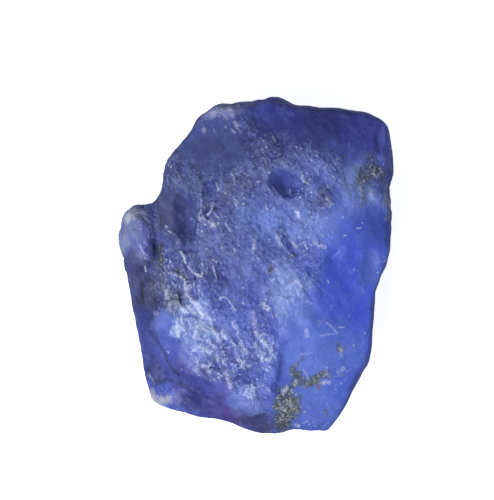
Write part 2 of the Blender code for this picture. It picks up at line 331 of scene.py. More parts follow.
# A face whose normal points up by less than this is a wall, and is hardly seen from above
STEEP = 0.22
GLASSY_ETCHING, UNDERSIDE_ETCHING = 0.27, 0.5
on_top = np.clip((points[:, 2] - WAIST) / (UPPER_RIM - WAIST), 0.0, 1.0)
faces_up = np.clip(averaged(read_points("normal"), 6)[:, 2] / STEEP, 0.0, 1.0)
# Etching grows from three quarters of the way out in a glassy oval to a little past its edge, and
# lumps fade out round the edge of a lumpy one
nearest_glass = np.min([oval_reach(*oval) for oval in GLASSY_OVALS.values()], axis=0)
etched = np.clip((nearest_glass - 0.75) / 0.7, GLASSY_ETCHING, 1.0)
etched = etched * on_top + UNDERSIDE_ETCHING * (1.0 - on_top)
nearest_lumps = np.min([oval_reach(*oval) for oval in LUMPY_OVALS.values()], axis=0)
lumpy = np.clip((1.35 - nearest_lumps) / 0.6, 0.0, 1.0) * on_top
keep_share("etched_share", etched)
keep_share("lumpy_share", lumpy)
print("etched on average:", round(float(etched.mean()), 2), "lumpy:", round(float(lumpy.mean()), 2))

# %% [markdown]
# ## Colour zones
# The colour of a sapphire lies in soft zones, from navy at one end to clear blue at the side. The
# zones are laid over each other as ovals, from the widest to the smallest, and kept as one colour
# for each point. Many are darker than the stone looks there, because the frosted skin lays a pale
# sheen over its own colour. Some zones are painted light and shade: the shade and shadow zones and
# the left flank are painted shade, the foot rim is painted shade with a painted violet reflection,
# the pale lumps and the haze are partly a painted sheen, and the thin pale edges are painted light.

# %% Lay the zones over each other
# name: colour, middle, half-sizes in millimetres, turn in degrees, softness, strength
ZONES = {
    "plateau": ("#4459a8", (1.0, 5.0), (9.5, 8.0), 0, 0.4, 0.9),
    "slate_corner": ("#3a4676", (-4.6, 10.4), (6.2, 6.2), 0, 0.45, 0.95),
    "slate_top": ("#2e3872", (2.0, 13.2), (7.0, 3.2), 0, 0.5, 0.85),
    "slate_left": ("#26366e", (-3.4, 7.8), (3.4, 3.0), 0, 0.5, 0.8),
    "right_shoulder": ("#4a5eae", (9.6, 10.6), (3.4, 4.0), 0, 0.5, 0.85),
    "right_band": ("#8aa2e0", (10.4, 8.6), (1.0, 3.0), 0, 0.5, 0.85),
    "side_streaks": ("#8098de", (12.4, 6.8), (1.3, 1.6), 0, 0.5, 0.85),
    # partly the stone's cloudy colour, partly a painted sheen over the middle of the plateau
    "plateau_glow": ("#627cd0", (1.8, 5.0), (3.6, 1.8), -20, 0.6, 0.8),
    "plateau_right": ("#7f99d6", (8.0, 3.8), (2.4, 3.4), 20, 0.5, 0.85),
    "slope_shade": ("#06145e", (7.3, 6.9), (1.1, 1.2), 0, 0.5, 0.95),
    "navy_end": ("#151e78", (7.4, 16.2), (8.4, 3.0), -8, 0.45, 1.0),
    "violet_corner": ("#30379a", (11.8, 14.2), (2.2, 2.2), 0, 0.5, 0.85),
    "top_left_rim": ("#9c9fc0", (-4.2, 17.0), (2.8, 0.8), 12, 0.5, 0.8),
    "glassy_side": ("#3653c6", (11.0, -3.0), (4.8, 8.6), 8, 0.35, 1.0),
    "deep_side": ("#2c4ac0", (10.2, -3.4), (1.8, 3.4), 10, 0.5, 0.9),
    "side_slab": ("#4a62bc", (12.3, -0.4), (1.3, 1.9), 0, 0.3, 0.85),
    "side_top": ("#3850b4", (12.8, 4.2), (2.2, 2.4), 0, 0.4, 0.85),
    # partly the stone's cloudy colour, partly a painted sheen where the frosted skin catches the light
    "haze": ("#9cb4f0", (3.3, -2.8), (1.6, 2.8), 12, 0.5, 0.85),
    "haze_foot": ("#5c78ce", (4.8, -5.4), (2.0, 2.2), 0, 0.5, 0.8),
    "foot_pane": ("#506ac2", (7.4, -11.8), (4.6, 5.6), -12, 0.4, 0.95),
    "foot_pane_light": ("#5a74ce", (5.0, -9.0), (2.6, 2.8), -12, 0.45, 0.85),
    "foot_pane_edge": ("#3c58c4", (9.8, -13.4), (1.8, 2.4), -12, 0.5, 0.7),
    "mid_left": ("#222d66", (-6.2, 0.6), (3.8, 3.4), 0, 0.5, 0.9),
    "centre_left": ("#46589c", (-2.8, 1.8), (2.6, 2.6), 0, 0.5, 0.7),
    "left_slope": ("#26305c", (-9.2, 6.6), (1.8, 4.6), 4, 0.4, 0.9),
    "dark_hollow": ("#0e1c56", (-8.2, 5.6), (1.1, 2.6), 4, 0.35, 1.0),
    "hollow_rim": ("#3a4062", (-10.1, 5.8), (0.95, 2.5), 4, 0.4, 1.0),
    "grey_cleft": ("#343a50", (-11.0, 5.2), (0.7, 1.8), 0, 0.5, 0.8),
    "knob": ("#6e7aa4", (-13.2, 3.4), (2.2, 3.2), 6, 0.35, 0.95),
    # painted light: the thin edge of the knob, here and in the next zone, is painted pale as if light shone
    # through it
    "pale_knob_tip": ("#cacdd6", (-13.9, 5.7), (1.4, 1.0), 20, 0.5, 0.9),
    "knob_left_edge": ("#868cae", (-14.8, 2.6), (0.5, 2.0), 0, 0.4, 0.8),
    "knob_blue_lobe": ("#424c94", (-13.4, 1.9), (0.9, 1.1), 0, 0.4, 0.85),
    "violet_knob_side": ("#5552ae", (-12.0, 2.7), (0.6, 1.2), 10, 0.4, 0.85),
    "knob_foot": ("#202a5e", (-13.2, 0.5), (2.2, 0.9), -10, 0.45, 0.95),
    "green_seam": ("#14190f", (-10.7, 0.9), (0.8, 1.3), -6, 0.5, 1.0),
    # painted shade: the left flank, here and in the dark flank below, is painted dark as a shadow side
    "left_flank": ("#2c2c58", (-13.0, -3.2), (1.9, 4.2), 8, 0.35, 0.95),
    "dark_flank": ("#06081e", (-11.7, -3.6), (1.2, 3.0), 4, 0.6, 0.9),
    "blue_flank": ("#202e7c", (-12.2, -6.6), (1.2, 1.8), 4, 0.45, 0.9),
    "low_flank": ("#303a7e", (-11.9, -10.2), (1.4, 3.2), 8, 0.4, 0.9),
    "corner_slope": ("#0a1050", (-10.4, -11.8), (1.7, 1.5), 0, 0.5, 0.95),
    "lilac_patch": ("#6764a4", (-7.4, -2.6), (1.1, 1.0), 0, 0.5, 0.7),
    # painted sheen over frost: the pale lumps here are painted lighter as if they caught the light
    "bright_lumps": ("#6f88cc", (-5.6, -8.2), (2.6, 4.0), 36, 0.4, 0.9),
    "upper_lumps": ("#7089c4", (-7.4, -5.4), (2.4, 1.7), -35, 0.4, 0.9),
    "low_lumps": ("#3c4a98", (-1.9, -9.7), (1.5, 2.3), 30, 0.5, 0.85),
    "lump_shade": ("#16206a", (-4.4, -11.8), (2.3, 1.4), -35, 0.5, 0.85),
    "lump_trough": ("#28388c", (-3.4, -9.8), (1.2, 1.3), 0, 0.5, 0.85),
    "streaked_lumps": ("#5a6cb8", (0.7, -8.6), (0.9, 2.6), 16, 0.4, 0.85),
    "blue_concavity": ("#2c40ac", (1.0, -6.0), (1.1, 1.5), 10, 0.5, 0.85),
    "pale_pane": ("#5c6ebe", (-10.4, -6.2), (1.1, 1.3), 0, 0.4, 0.9),
    "lower_left_pane": ("#3c4aa4", (-8.9, -9.6), (1.8, 2.7), 40, 0.3, 0.95),
    # painted shade on the foot slope
    "foot_slope": ("#1c2280", (-6.6, -12.6), (4.6, 1.4), -26, 0.4, 0.95),
    "violet_swell": ("#40409c", (-3.6, -13.8), (1.3, 1.1), -30, 0.5, 0.85),
    "crease_shadow": ("#0e0f5a", (-6.6, -14.0), (2.8, 0.65), -24, 0.5, 0.95),
    # painted shade with a painted violet reflection on the foot rim, here and in the purple edge below
    "violet_rim": ("#160f66", (-4.6, -15.8), (5.0, 1.3), -18, 0.4, 0.95),
    "purple_edge": ("#4a3482", (-3.0, -16.2), (1.8, 0.8), -22, 0.6, 0.7),
    "lilac_rim": ("#62609e", (-8.7, -14.7), (0.8, 0.8), -10, 0.4, 0.85),
    # painted light: the thin lower-left corner, here and in the pale corner edge, is painted pale as if light
    # shone through it
    "foot_corner": ("#a8a6b0", (-10.8, -14.4), (1.0, 1.0), -30, 0.35, 0.95),
    "corner_facet": ("#3c50ba", (-10.2, -13.5), (0.85, 0.6), -20, 0.3, 0.95),
    "pale_corner_edge": ("#8088ac", (-11.5, -12.5), (0.22, 0.45), 10, 0.4, 0.8),
    # partly the stone's cloudy colour, partly a painted sheen on the foot
    "foot_haze": ("#7082c6", (-0.8, -14.7), (1.7, 2.0), -10, 0.5, 0.85),
    "seam_band": ("#3850b0", (2.2, -11.8), (0.55, 4.4), -10, 0.4, 0.8),
    # painted shade with a painted violet reflection along the bottom edge
    "violet_foot": ("#1a1246", (1.0, -17.4), (3.4, 1.3), -10, 0.4, 0.9),
    "oval_dimple": ("#2a3a86", (3.3, 8.9), (1.6, 1.1), -28, 0.4, 0.85),
    "dimple_shade": ("#2c3c88", (2.2, 8.8), (0.5, 1.0), -50, 0.5, 0.7),
    "small_dimple": ("#343f94", (-5.2, 8.6), (0.7, 0.8), 0, 0.4, 0.85),
    "cluster_ground": ("#1a2450", (-5.4, 5.3), (1.1, 1.1), 0, 0.5, 0.8),
    "pale_right_edge": ("#a9b3c4", (14.7, 7.0), (0.5, 1.5), 0, 0.5, 0.8),
    "bright_end_edge": ("#4a58cc", (14.5, 14.2), (0.45, 1.6), 0, 0.4, 0.85),
    # painted sheen over frost on the whitest lumps, in this zone and the three below
    "lump_white": ("#a2b6e4", (-8.2, -6.5), (0.8, 1.2), 0, 0.4, 0.9),
    "lump_top": ("#94a8de", (-6.6, -4.4), (1.5, 0.5), -45, 0.4, 0.85),
    "lump_middle": ("#9eb2e4", (-5.8, -6.5), (0.7, 1.3), 0, 0.4, 0.9),
    "lump_right": ("#92a6da", (-4.4, -7.1), (1.2, 0.5), -45, 0.4, 0.85),
    "lump_low": ("#6880c0", (-5.6, -8.7), (1.1, 0.9), 0, 0.4, 0.8),
    "lump_streaks": ("#6c84c6", (-1.3, -9.8), (0.5, 1.2), 25, 0.4, 0.8),
    "lump_crest": ("#7690d0", (0.8, -8.6), (0.9, 0.9), 0, 0.4, 0.8),
    "curls": ("#7a8ecc", (-0.7, -13.5), (0.7, 0.7), 0, 0.4, 0.8),
    "blue_gap": ("#5a6cc4", (-7.5, -7.3), (0.3, 0.6), 0, 0.4, 0.8),
    "pane_blue": ("#5264bc", (-9.7, -6.9), (0.5, 0.5), 0, 0.4, 0.8),
    "deep_gap": ("#3c52b0", (-3.3, -8.5), (0.6, 0.5), 0, 0.4, 0.9),
    "violet_gap": ("#4042a6", (-3.1, -9.8), (0.35, 0.8), 35, 0.4, 0.9),
    "thin_gap": ("#3c52b4", (-0.8, -9.0), (0.22, 1.1), 10, 0.4, 0.8),
    "deep_concavity": ("#3044ae", (0.8, -5.7), (0.45, 1.0), 25, 0.4, 0.9),
    "violet_chip": ("#3e42a2", (-3.7, -0.5), (0.35, 0.65), 20, 0.3, 0.9),
    "blue_chip": ("#3c50aa", (-2.2, -2.9), (0.5, 0.6), 0, 0.4, 0.8),
    "flat_gap": ("#4858ac", (-3.7, -6.5), (1.1, 0.7), -20, 0.4, 0.8),
    "low_gap": ("#3c4ea8", (-2.1, -11.0), (0.7, 0.3), -50, 0.4, 0.8),
    "rust": ("#6e5040", (6.4, -13.0), (0.35, 0.5), 0, 0.5, 0.7),
}
BODY_COLOUR = "#4258ba"


def soft_mask(middle, half_sizes, turn, softness):
    """1 inside an oval, fading to 0 over its softness, on all that faces upwards."""
    reach = oval_reach(middle, half_sizes, turn)
    return np.clip((1.0 + softness - reach) / (2.0 * softness), 0.0, 1.0) * faces_up


paint = np.tile(linear(BODY_COLOUR), (len(points), 1))
for tone, middle, half_sizes, turn, softness, strength in ZONES.values():
    cover = soft_mask(middle, half_sizes, turn, softness)[:, None] * strength
    paint = paint + (np.array(linear(tone)) - paint) * cover
zone_colours = stone.data.attributes.new("zone_colour", "FLOAT_COLOR", "POINT")
zone_colours.data.foreach_set("color", paint.ravel())
print("colour zones:", len(ZONES))

# %% [markdown]
# ## Host rock and glitter
# Grains of the host rock stay in the skin where the crystal grew against it, in three patches and a
# few lone pits. Glitter gathers on some of the lumps and chips. Both are placed as ovals too, and
# the material breaks them into grains and glints.

# %% Patches of rock and of glitter
# name: middle, half-sizes in millimetres, turn in degrees, softness, how much rock is left
ROCK_PATCHES = {
    "right_patch": ((11.9, 10.0), (1.2, 1.7), -16, 0.5, 0.75),
    "right_patch_tail": ((11.1, 7.9), (0.5, 1.4), 0, 0.5, 0.55),
    "right_patch_arm": ((13.4, 9.6), (0.4, 1.1), 14, 0.6, 0.5),
    "foot_patch": ((3.3, -15.6), (1.25, 2.5), -6, 0.3, 1.0),
    "foot_patch_top": ((4.2, -12.2), (0.5, 1.8), -16, 0.4, 1.0),
    "foot_patch_arm": ((6.2, -12.4), (1.9, 0.4), 8, 0.5, 0.9),
    "left_patch": ((-10.2, -1.9), (0.9, 1.5), 8, 0.6, 0.5),
    "left_patch_low": ((-9.3, -3.4), (1.1, 1.4), 0, 0.6, 0.6),
    "left_patch_top": ((-8.3, -1.0), (1.2, 0.5), -30, 0.6, 0.5),
    "knob_cleft": ((-10.8, 1.1), (0.7, 1.1), -10, 0.5, 0.45),
    "beside_the_dimple": ((5.5, 8.9), (0.25, 0.8), 20, 0.5, 0.6),
    "centre_pit": ((1.2, -0.5), (0.26, 0.5), -10, 0.4, 0.8),
    "side_pit": ((9.3, -8.7), (0.4, 0.6), 0, 0.5, 0.8),
    "ridge_pit": ((4.2, 0.7), (0.25, 0.2), 0, 0.5, 0.8),
    "foot_speck": ((7.7, -15.9), (0.25, 0.4), 0, 0.5, 0.6),
}
# name: middle, half-sizes in millimetres, turn in degrees, softness, how crowded the glints are
GLITTER = {
    "lumps": ((-6.0, -7.6), (3.2, 4.6), 36, 0.4, 0.4),
    "beside_the_seam": ((-9.2, -1.6), (2.2, 3.0), 20, 0.4, 0.6),
    "streaked_lumps": ((0.7, -8.6), (1.1, 2.8), 16, 0.4, 0.5),
    "curly_lumps": ((-0.5, -13.5), (0.9, 1.2), 0, 0.4, 0.5),
    "bright_cluster": ((-5.0, 5.2), (1.1, 1.0), 0, 0.4, 0.6),
    "top_chips": ((-4.0, 15.2), (2.4, 1.0), -10, 0.4, 0.5),
    "beside_the_dimple": ((5.4, 8.7), (0.6, 1.4), 20, 0.4, 0.6),
    "down_the_ridge": ((4.4, 3.6), (1.0, 4.0), 38, 0.4, 0.4),
    "right_patch": ((12.2, 8.8), (1.6, 3.0), 0, 0.4, 0.5),
    "foot_patch": ((4.2, -14.6), (2.2, 3.2), -8, 0.4, 0.4),
    "shoulder": ((-10.4, 4.0), (1.6, 0.8), -20, 0.4, 0.5),
}
for name, patches in (("rock_share", ROCK_PATCHES), ("glint_luck", GLITTER)):
    keep_share(name, np.max([soft_mask(*oval) * amount for *oval, amount in patches.values()], axis=0))
keep_share("upper_share", faces_up)
print("rock patches:", len(ROCK_PATCHES), "glitter patches:", len(GLITTER))

# %% [markdown]
# ## Calm places
# Water and sand have worn the foot, the left flank and some hollows until no chip is left there. A
# Smooth modifier wears them down too. It follows a vertex group, so the rest of the stone stays as
# it is. The share is also kept for the material, because worn skin is dull.

# %% Wear down the foot, the flank and the hollows
CALM_OVALS = {
    "foot_slope": ((-6.6, -13.4), (4.6, 1.6), -26),
    "foot_rim": ((-3.6, -16.0), (5.4, 1.0), -18),
    "left_flank": ((-12.4, -6.0), (1.2, 8.0), 6),
    "knob_cleft": ((-10.8, 1.8), (0.7, 2.2), -4),
    "oval_dimple": ((3.1, 8.7), (1.5, 1.1), -28),
    "dark_hollow": ((-8.9, 6.2), (2.0, 3.6), 4),
}
nearest_calm = np.min([oval_reach(*oval) for oval in CALM_OVALS.values()], axis=0)
# Wholly calm as far as two thirds of the way out, and not at all past four thirds
calm = np.clip(2.0 - 1.5 * nearest_calm, 0.0, 1.0)
calm_group = stone.vertex_groups.new(name="calm")
for index in np.flatnonzero(calm > 0.01):
    calm_group.add([int(index)], float(calm[index]), "REPLACE")
WEAR_ROUNDS = 60
apply_modifier(stone, "SMOOTH", factor=0.5, iterations=WEAR_ROUNDS, vertex_group="calm")
keep_share("worn_share", calm)
print("calm points:", int((calm > 0.5).sum()))

# %% [markdown]
# ## Seams and creases
# Thin cracks and folds cross the face, such as the cleft beside the knob and the two curved creases
# at the foot. Each is a path over the stone. Points near it sink along their own normals, deepest
# on the path, and the nearness is kept as an attribute so that the material can darken the seam.
# The ridges that stand between two chips are made the same way, and rise instead of sinking.

# %% Press in the seams
# name: path, half-width and depth in millimetres, and how dark the seam is painted, with dirt and painted
# shade
SEAMS = {
    "knob_seam": ([(-10.9, 2.6), (-10.7, 1.0), (-10.2, -0.4)], 0.5, 0.06, 0.4),
    "flank_seam": ([(-11.0, -1.6), (-11.5, -4.4), (-11.5, -7.4)], 0.5, 0.06, 0.35),
    "pane_crease": (
        [(-11.1, -8.0), (-10.5, -8.9), (-9.9, -10.0), (-9.4, -11.0), (-8.5, -11.8)], 0.18, 0.12, 0.6),
    "foot_crease": (
        [(-10.6, -12.7), (-9.2, -12.9), (-8.6, -13.8), (-7.2, -14.1), (-5.6, -14.8), (-4.4, -15.5)],
        0.36, 0.1, 0.0),
    "blue_channel": ([(2.6, 4.2), (3.3, 3.2), (3.9, 2.2), (4.4, 1.0)], 0.42, 0.06, 0.1),
    "channel_beside": ([(1.4, 3.4), (2.4, 1.9), (3.5, 0.9)], 0.3, 0.08, 0.2),
    "dark_end_seam": ([(13.6, 15.2), (13.5, 13.8), (13.2, 12.6)], 0.35, 0.08, 0.5),
}
# name: path, half-width and height in millimetres
RIDGES = {
    "pink_ridge": ([(-9.3, -0.7), (-8.4, -1.2), (-7.7, -1.7), (-7.4, -2.4)], 0.22, 0.24),
    "pale_ridge": ([(-8.2, 1.5), (-7.6, 0.4), (-7.0, -0.4), (-6.2, -0.9), (-5.5, -1.6)], 0.24, 0.16),
    "arc_of_chips": ([(-3.9, -3.5), (-3.3, -3.5), (-2.7, -4.1), (-2.3, -4.8)], 0.2, 0.2),
    "short_ridge": ([(-4.5, -0.3), (-4.3, -1.6)], 0.2, 0.2),
    "lobe_ridge": ([(-13.2, 3.6), (-12.7, 2.4), (-12.2, 1.3)], 0.28, 0.1),
    "shoulder_ridge": ([(-9.7, 4.2), (-9.1, 3.4), (-8.4, 2.7)], 0.25, 0.22),
    "edge_of_haze": ([(4.1, -0.6), (4.5, -1.6), (5.0, -3.0)], 0.35, 0.16),
    "cluster_ridge": ([(-4.6, 6.7), (-4.9, 5.8), (-5.8, 5.2)], 0.26, 0.3),
}


def path_distance(path, places):
    """Each place's distance from a path, as seen from above."""
    nearest = np.full(len(places), 1e9)
    for start, end in zip(path, path[1:]):
        start, step = np.array(start), np.subtract(end, start)
        along = np.clip(((places[:, :2] - start) @ step) / (step @ step), 0.0, 1.0)
        offset = places[:, :2] - start - along[:, None] * step
        nearest = np.minimum(nearest, np.linalg.norm(offset, axis=1))
    return nearest


def nearness(path, half_width, places=points):
    """1 on a path, fading to 0 about two half-widths away."""
    return np.exp(-(path_distance(path, places) / half_width) ** 2) * on_top * faces_up


sink = np.max([nearness(path, width) * depth for path, width, depth, _ in SEAMS.values()], axis=0)
dirt_and_shade = np.max([nearness(path, width) * dark for path, width, _, dark in SEAMS.values()], axis=0)
rise = np.max([nearness(path, width) * height for path, width, height in RIDGES.values()], axis=0)
keep_share("seam_share", dirt_and_shade)
move_points(rise - sink)
print("seams:", len(SEAMS), "ridges:", len(RIDGES))

# %% [markdown]
# ## Broken faces
# Rough corundum breaks into a crowd of small faces, each flat and each tilted its own way, with a
# sharp step where two meet. A cell pattern makes them: every point finds the nearest of many
# scattered seeds, and is lifted by its offset from that seed along the seed's own random slope.
# The cells are drawn out along one direction, down to the right, because the grooves follow the
# crystal. A soft noise wanders their borders, so that no border is straight.

# %% Cells with a tilt of their own
GROOVE_ANGLE = -52
# A cell's seed and slope are looked up in a table of random numbers, and primes scatter the cells
# over the table, so that no two neighbours share a row
SEED_TABLE = np.random.default_rng(7).random((4096, 6))
SCATTER = (73, 179, 283)


def broken_faces(grain, stretch, wandering):
    """For each point, its height on its own cell's tilted face, and how far it is from the seed."""
    angle = math.radians(GROOVE_ANGLE)
    along = points[:, 0] * math.cos(angle) + points[:, 1] * math.sin(angle)
    across = points[:, 1] * math.cos(angle) - points[:, 0] * math.sin(angle)
    place = np.stack([along / stretch, across, points[:, 2]], axis=1) / grain
    place += wandering * wander(grain * 1.5)
    cell = np.floor(place).astype(int)
    nearest = np.full(len(place), 1e9)
    height = np.zeros(len(place))
    for step in itertools.product((-1, 0, 1), repeat=3):
        corner = cell + step
        seed = SEED_TABLE[corner @ SCATTER % len(SEED_TABLE)]
        offset = place - corner - seed[:, :3]
        away = np.linalg.norm(offset, axis=1)
        closer = away < nearest
        nearest[closer] = away[closer]
        height[closer] = (offset * (seed[:, 3:] * 2 - 1)).sum(axis=1)[closer]
    return height, nearest


# name: grain in mm, stretch along the grooves, wandering, then the height in mm of tilt and of rim
# on etched skin, and the same on lumpy skin
BREAKS = {
    "hackles": (1.5, 1.6, 0.6, 0.045, 0.0, 0.2, 0.06),
    "small_hackles": (0.7, 1.8, 0.6, 0.038, 0.0, 0.12, 0.04),
    "crumbs": (0.36, 1.8, 0.5, 0.04, 0.0, 0.06, 0.01),
}
for grain, stretch, wandering, tilt, rim, lumpy_tilt, lumpy_rim in BREAKS.values():
    slope, away = broken_faces(grain, stretch, wandering)
    tilts = tilt * etched + (lumpy_tilt - tilt) * lumpy
    rims = rim * etched + (lumpy_rim - rim) * lumpy
    move_points(slope * tilts + (away - 0.5) * rims)
print("breaks:", ", ".join(BREAKS))

# %% [markdown]
# ## Etch relief
# The etching itself is finer and softer than the breaks. Each layer of it is a Displace modifier
# with a procedural texture. Its coordinates come from an empty that is turned to the groove
# direction and stretched along it. The vertex group holds the relief back on glassy skin.

# %% Displace the skin
etched_group = stone.vertex_groups.new(name="etched")
for index, amount in enumerate(etched):
    etched_group.add([index], float(amount), "REPLACE")
# name: texture, grain in mm, stretch along the grooves, height in mm, vertex group
RELIEF = {
    "soft_swells": ("CLOUDS", 2.2, 1.4, 0.07, "etched"),
    "etch_grooves": ("STUCCI", 0.34, 2.2, 0.045, "etched"),
    "fine_grain": ("CLOUDS", 0.28, 1.8, 0.045, "etched"),
    "break_ripples": ("CLOUDS", 1.8, 2.0, 0.04, ""),
}
for layer, (kind, grain, stretch, height, group_name) in RELIEF.items():
    pattern = bpy.data.textures.new(layer, kind)
    pattern.noise_scale = 1.0
    guide = bpy.data.objects.new(layer, None)
    guide.rotation_euler.z = math.radians(GROOVE_ANGLE)
    guide.scale = (grain * stretch * MM, grain * MM, grain * MM)
    bpy.context.scene.collection.objects.link(guide)
    bpy.context.view_layer.update()
    apply_modifier(stone, "DISPLACE", texture=pattern, texture_coords="OBJECT", texture_coords_object=guide,
                   strength=height * MM, mid_level=0.5, vertex_group=group_name)
    bpy.data.objects.remove(guide)
bpy.ops.object.shade_smooth()
print("relief layers:", ", ".join(RELIEF))

# %% [markdown]
# ## Chips and pale ridges, one by one
# The eye knows this stone by its bright marks: the rubbed edges of chips, short curved ridges and a
# few straight scratches. They don't repeat, so they are placed one by one. It is easiest to measure
# them in pixels of the photograph, and one function turns pixels into millimetres. Each mark is
# raised by 0.07 mm, so that it is a real ridge, and its nearness is kept as an attribute, because
# the mark is painted white: partly frost on a rubbed edge, partly a painted glint.

# %% Marks, measured in pixels
STONE_MIDDLE_ACROSS, STONE_MIDDLE_DOWN = 256.0, 265.5


def from_picture(across, down):
    """A place in the photograph, in pixels from its top left corner, as X and Y in millimetres."""
    return (across - STONE_MIDDLE_ACROSS) * PIXEL_IN_MM, (STONE_MIDDLE_DOWN - down) * PIXEL_IN_MM


# brightness: marks, each a path of pixel places; a mark of one place is a dot
WIDE_MARKS = {
    0.95: [
        [(296, 213), (297, 217)], [(184, 308), (187, 311)], [(188, 295), (193, 300), (198, 303)],
        [(200, 307), (203, 316)], [(262, 338), (265, 343)], [(263, 303), (268, 308)],
        [(218, 334), (220, 339)], [(177, 326), (179, 334)],
    ],
    0.75: [
        [(211, 222), (215, 227)], [(313, 242), (318, 245), (323, 247)], [(190, 307), (195, 312)],
        [(207, 313), (212, 322)], [(197, 306), (202, 312)], [(213, 328), (217, 332)],
        [(199, 325), (195, 337)], [(201, 345), (209, 351)], [(256, 331), (259, 336)],
        [(265, 357), (271, 359)], [(241, 342), (246, 351)], [(238, 357), (247, 364)],
        [(226, 370), (231, 385)], [(167, 291), (168, 298)], [(282, 390), (286, 387)],
        [(322, 381), (328, 381)], [(296, 424), (298, 425)], [(182, 318), (184, 328)],
        [(222, 331), (225, 336)], [(233, 322), (238, 330)],
    ],
    0.55: [
        [(200, 216), (203, 222)], [(253, 241), (254, 246), (253, 251)], [(276, 236), (280, 245)],
        [(291, 241), (295, 247)], [(291, 282), (297, 281)], [(172, 302), (178, 302), (182, 304)],
        [(171, 303), (170, 308), (173, 312)], [(176, 306)], [(209, 341), (216, 346)],
        [(193, 347), (197, 350)], [(197, 358), (198, 362)], [(204, 364), (210, 371)],
        [(253, 311), (254, 321), (257, 326)], [(217, 352), (219, 358)], [(223, 358), (225, 363)],
        [(204, 130), (205, 133)], [(229, 108), (231, 112)], [(233, 117)], [(238, 107)],
        [(235, 124), (238, 131)], [(326, 199), (330, 204)], [(325, 205), (328, 206)],
        [(337, 371), (343, 367)], [(288, 400), (291, 404)], [(280, 407), (284, 408)],
        [(293, 383), (297, 380)], [(240, 362), (245, 367)], [(258, 354), (262, 357)],
        [(270, 352), (273, 354)], [(196, 368), (199, 373)], [(186, 285), (189, 291)],
        [(190, 286), (195, 284)], [(203, 325), (208, 329)], [(305, 329), (306, 334)],
        [(369, 191), (370, 199)], [(339, 354), (341, 348)], [(358, 185), (359, 196)], [(156, 313)],
    ],
}
